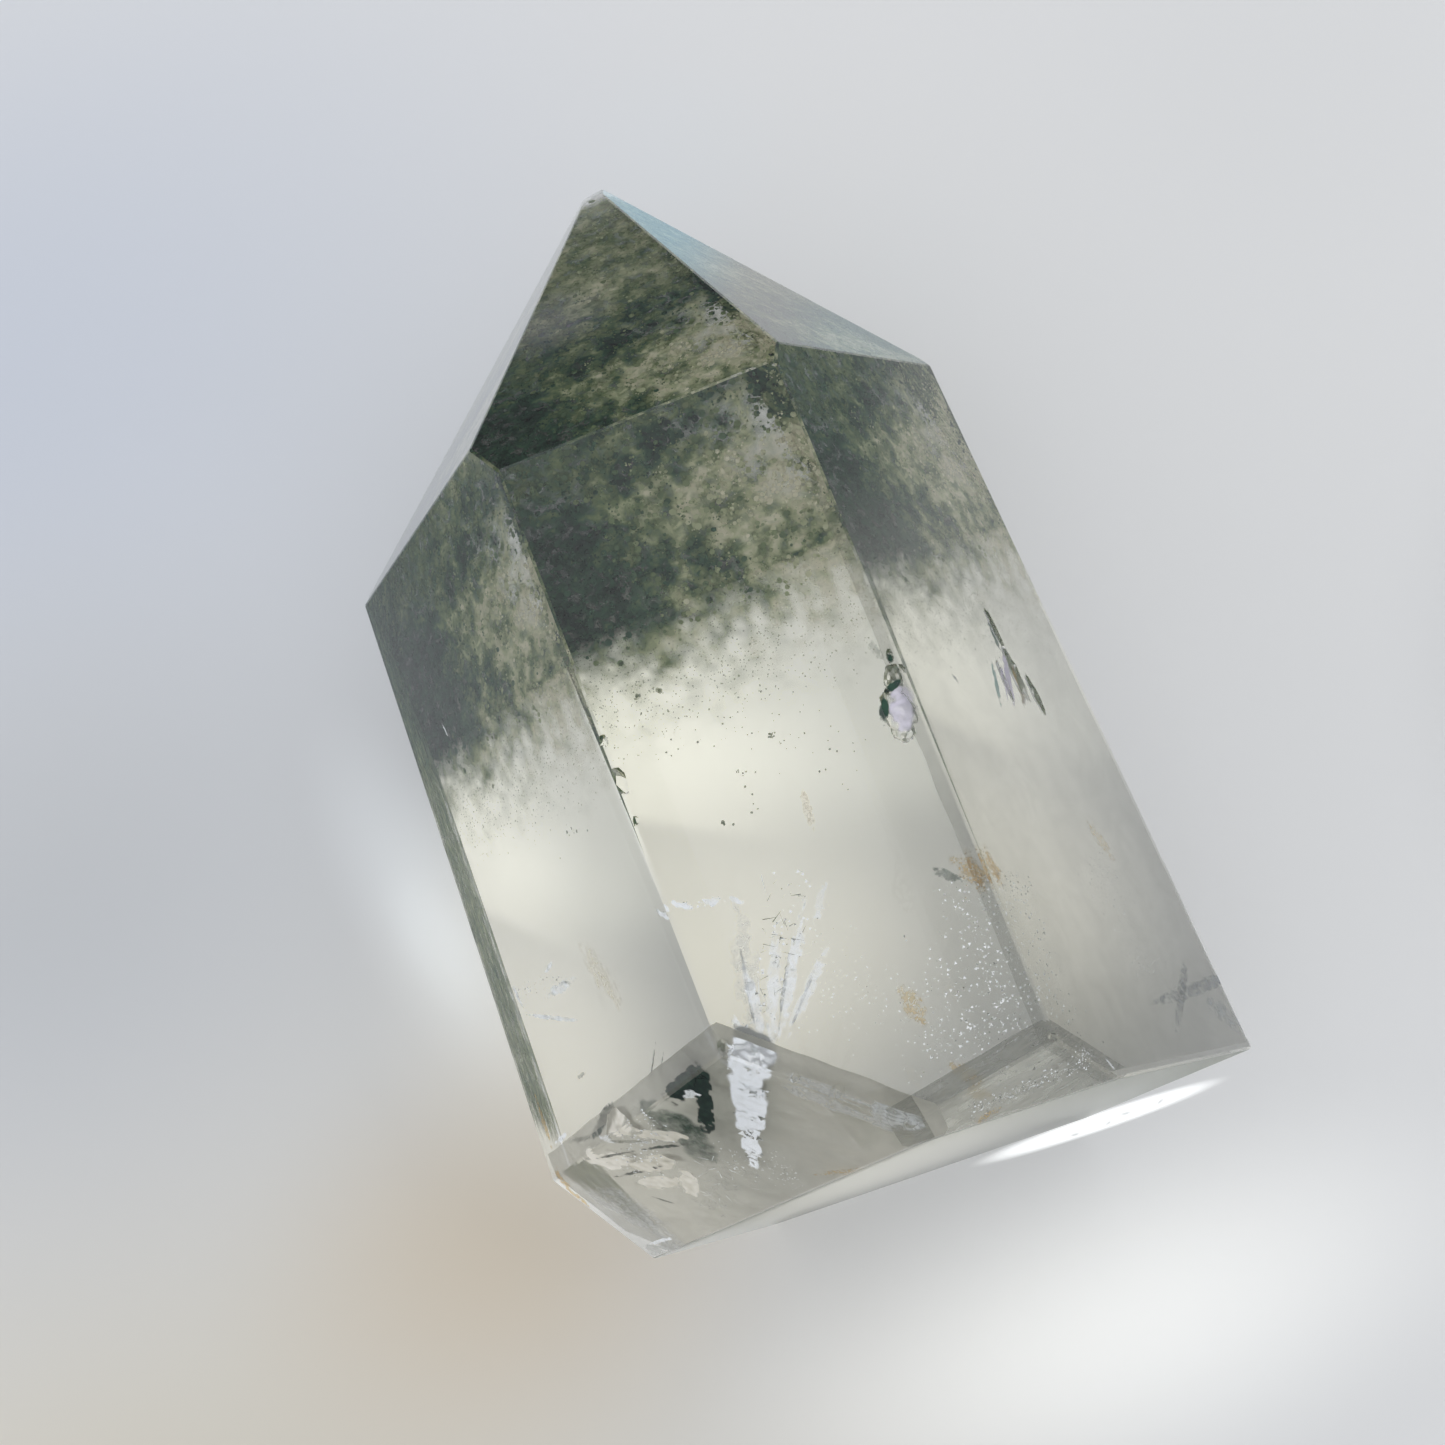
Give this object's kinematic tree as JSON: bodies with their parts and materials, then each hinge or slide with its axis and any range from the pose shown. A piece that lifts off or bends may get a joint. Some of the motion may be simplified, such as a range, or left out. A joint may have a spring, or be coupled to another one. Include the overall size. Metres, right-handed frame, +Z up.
{
  "type": "garden quartz tower",
  "caption": "Clear six-sided quartz point with green garden inclusions towards its tip, sawn base and polished faces, lying on its back face.",
  "frame": {"origin": "middle of the outline's lowest plane: the stone lies on its back face at z = 0", "axes": "+Y along the stone's long axis to its tip, +Z up out of the front face, +X to the right of the front face"},
  "size_m": [0.0478, 0.0804, 0.0484],
  "materials": {
    "quartz": "polished clear quartz with green chlorite inside, refractive index 1.544"
  },
  "bodies": {
    "root": {"quartz_point": "quartz"}
  },
  "joints": []
}
